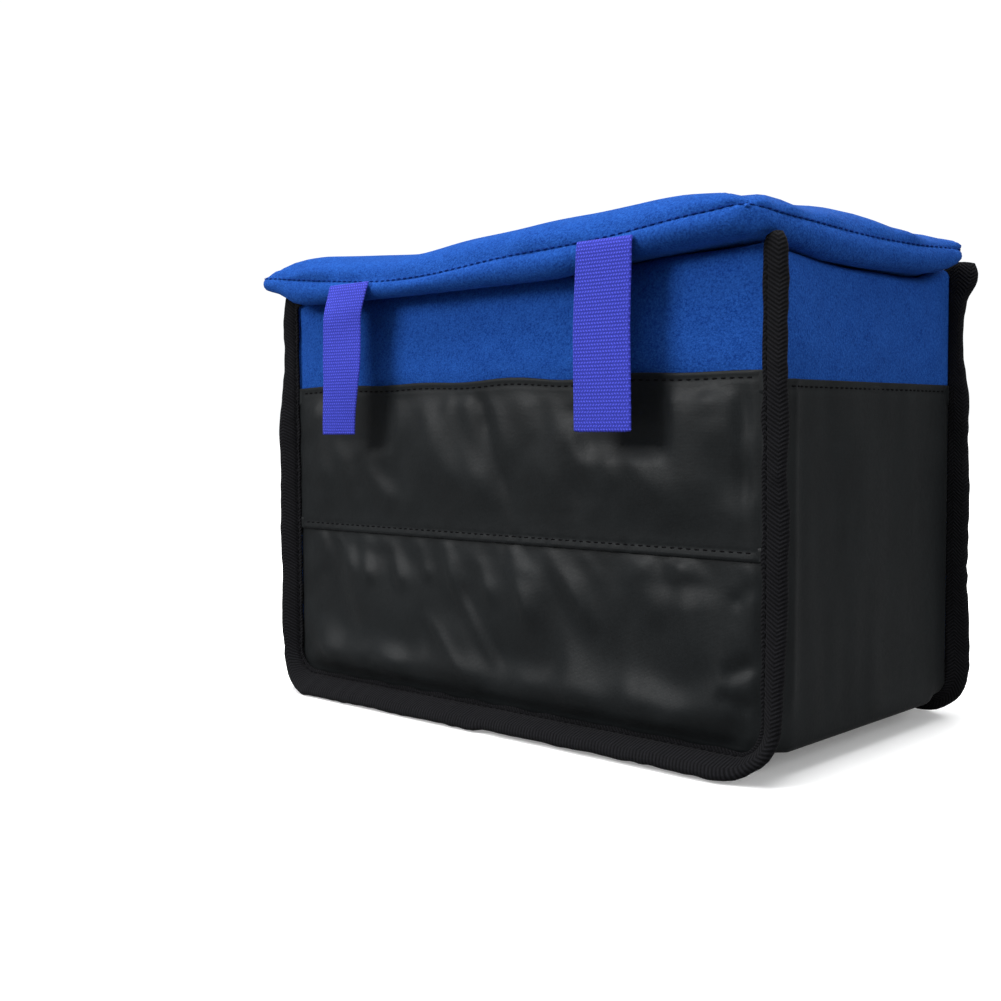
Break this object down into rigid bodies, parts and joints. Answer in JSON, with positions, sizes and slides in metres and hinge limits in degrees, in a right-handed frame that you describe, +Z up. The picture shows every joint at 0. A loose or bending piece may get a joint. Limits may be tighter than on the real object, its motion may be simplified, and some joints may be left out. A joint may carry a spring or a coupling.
{
  "type": "padded camera insert bag",
  "caption": "Padded box-shaped camera insert in blue loop cloth with black nylon pockets, bound seams, a hinged lid with hook straps, and movable dividers.",
  "frame": {"origin": "on the ground under the middle of the box, halfway between the outer faces of its walls", "axes": "+X to the right along the long side, +Y to the back where the lid is hinged, +Z up; the straps hang on the -Y side"},
  "size_m": [0.2784, 0.1691, 0.203],
  "materials": {
    "fleece_blue": "short loop nap, matt",
    "fleece_lining": "short loop nap, matt",
    "nylon_black": "fine plain weave, semi-gloss",
    "binding_black": "twill tape, matt",
    "foam_grey": "closed-cell foam board",
    "hook_violet": "woven hook tape",
    "hook_black": "woven hook tape",
    "thread_black": "sewing thread",
    "thread_blue": "sewing thread"
  },
  "bodies": {
    "case": {"front_outer_cloth": "fleece_blue", "back_outer_cloth": "fleece_blue", "gusset_outer_cloth": "fleece_blue", "front_foam_board": "foam_grey", "back_foam_board": "foam_grey", "left_foam_board": "foam_grey", "right_foam_board": "foam_grey", "base_foam_board": "foam_grey", "front_lining": "fleece_lining", "back_lining": "fleece_lining", "gusset_lining": "fleece_lining", "front_pocket_upper": "nylon_black", "front_pocket_lower": "nylon_black", "back_pocket": "nylon_black", "left_side_pocket": "nylon_black", "right_side_pocket": "nylon_black", "base_nylon": "nylon_black", "front_binding_tape": "binding_black", "back_binding_tape": "binding_black", "lid_hinge_strip": "fleece_blue", "front_pocket_thread": "thread_black", "back_pocket_thread": "thread_black", "side_pocket_thread": "thread_black", "front_binding_thread": "thread_black", "back_binding_thread": "thread_black"},
    "lid": {"lid_top_cloth": "fleece_blue", "lid_bottom_cloth": "fleece_blue", "lid_foam_board": "foam_grey", "lid_seam_thread": "thread_blue"},
    "strap_left": {"strap_left_tape": "hook_violet", "strap_left_hooks": "hook_violet"},
    "strap_right": {"strap_right_tape": "hook_violet", "strap_right_hooks": "hook_violet"},
    "divider_left": {"divider_left_cover": "fleece_lining", "divider_left_foam": "foam_grey", "divider_left_hooks": "hook_black"},
    "divider_right": {"divider_right_cover": "fleece_lining", "divider_right_foam": "foam_grey", "divider_right_hooks": "hook_black"}
  },
  "joints": [
    {"name": "lid_hinge", "type": "hinge", "parent": "case", "child": "lid", "pos_m": [0, 0.0775, 0.19], "axis": [-1, 0, 0], "range_deg": [0, 240], "deforming": ["lid_hinge_strip"]},
    {"name": "strap_left_bend", "type": "hinge", "parent": "lid", "child": "strap_left", "pos_m": [-0.072, -0.0847, 0.1945], "axis": [-1, 0, 0], "range_deg": [-8, 175]},
    {"name": "strap_right_bend", "type": "hinge", "parent": "lid", "child": "strap_right", "pos_m": [0.072, -0.0847, 0.1945], "axis": [-1, 0, 0], "range_deg": [-8, 175]},
    {"name": "divider_left_slide", "type": "slide", "parent": "case", "child": "divider_left", "axis": [1, 0, 0], "range_m": [-0.06, 0.03]},
    {"name": "divider_right_slide", "type": "slide", "parent": "case", "child": "divider_right", "axis": [1, 0, 0], "range_m": [-0.03, 0.06]}
  ]
}
